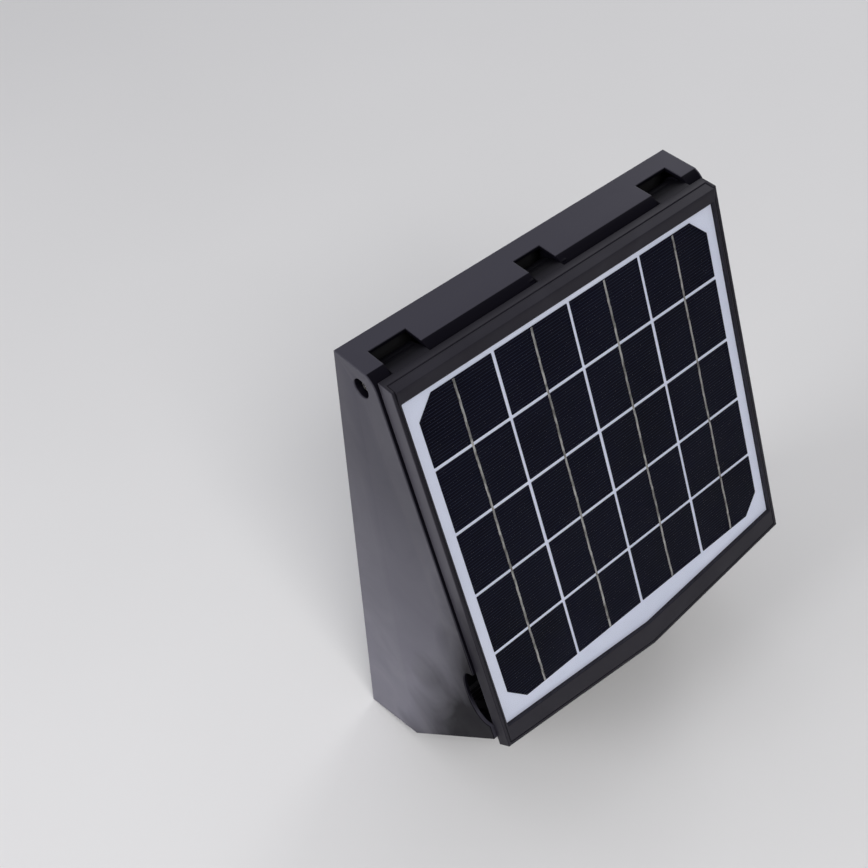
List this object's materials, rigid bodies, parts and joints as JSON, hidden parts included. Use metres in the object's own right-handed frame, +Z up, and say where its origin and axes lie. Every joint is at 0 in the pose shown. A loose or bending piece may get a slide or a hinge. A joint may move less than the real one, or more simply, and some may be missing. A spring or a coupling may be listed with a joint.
{
  "type": "solar attic fan",
  "caption": "Black wall hood with a tilting solar panel across its front and an axial extractor fan, inlet guard and outlet grille inside.",
  "frame": {"origin": "on the wall plate's back face, on the centre plane, 14 mm below the hood's top", "axes": "+Z up, +Y into the wall, the panel faces -Y, X runs along the hinge"},
  "size_m": [0.2406, 0.13, 0.318],
  "materials": {
    "hood_plastic": "satin moulded",
    "tray_plastic": "satin moulded",
    "inner_plastic": "matte moulded",
    "white_sheet": "white laminate",
    "cell_silicon": "dark blue-black silicon",
    "clear_cover": "clear",
    "screw_steel": "zinc plated",
    "seal_rubber": "matte",
    "board": "solder mask",
    "magnet_iron": "bare",
    "core_steel": "laminated"
  },
  "bodies": {
    "housing": {"housing_hood": "hood_plastic", "wall_plate": "inner_plastic", "wall_gasket": "seal_rubber", "inlet_guard": "inner_plastic", "fan_frame": "inner_plastic", "fan_screw_1": "screw_steel", "fan_screw_2": "screw_steel", "fan_screw_3": "screw_steel", "fan_screw_4": "screw_steel", "stator_core": "core_steel", "motor_board": "board", "bearing_front": "screw_steel", "bearing_rear": "screw_steel", "outlet_grille": "inner_plastic", "hood_screw_left": "screw_steel", "hood_screw_right": "screw_steel", "hinge_screw_left": "screw_steel", "hinge_screw_right": "screw_steel", "hinge_pin": "screw_steel", "controller_case": "inner_plastic", "controller_lid": "inner_plastic", "controller_board": "board", "controller_gland": "seal_rubber"},
    "rotor": {"impeller": "inner_plastic", "rotor_magnet": "magnet_iron", "motor_shaft": "screw_steel"},
    "panel": {"panel_tray": "tray_plastic", "module_frame": "tray_plastic", "backsheet": "white_sheet", "panel_glass": "clear_cover", "cell_string_1": "cell_silicon", "cell_string_2": "cell_silicon", "cell_string_3": "cell_silicon", "cell_string_4": "cell_silicon", "junction_box": "inner_plastic", "junction_lid": "inner_plastic", "panel_gland": "seal_rubber"}
  },
  "joints": [
    {"name": "panel_tilt", "type": "hinge", "parent": "housing", "child": "panel", "pos_m": [0, -0.02, 0.002], "axis": [-1, 0, 0], "range_deg": [0, 45]},
    {"name": "fan_spin", "type": "hinge", "parent": "housing", "child": "rotor", "pos_m": [0, -0.026, -0.164], "axis": [0, 1, 0], "continuous": true}
  ]
}
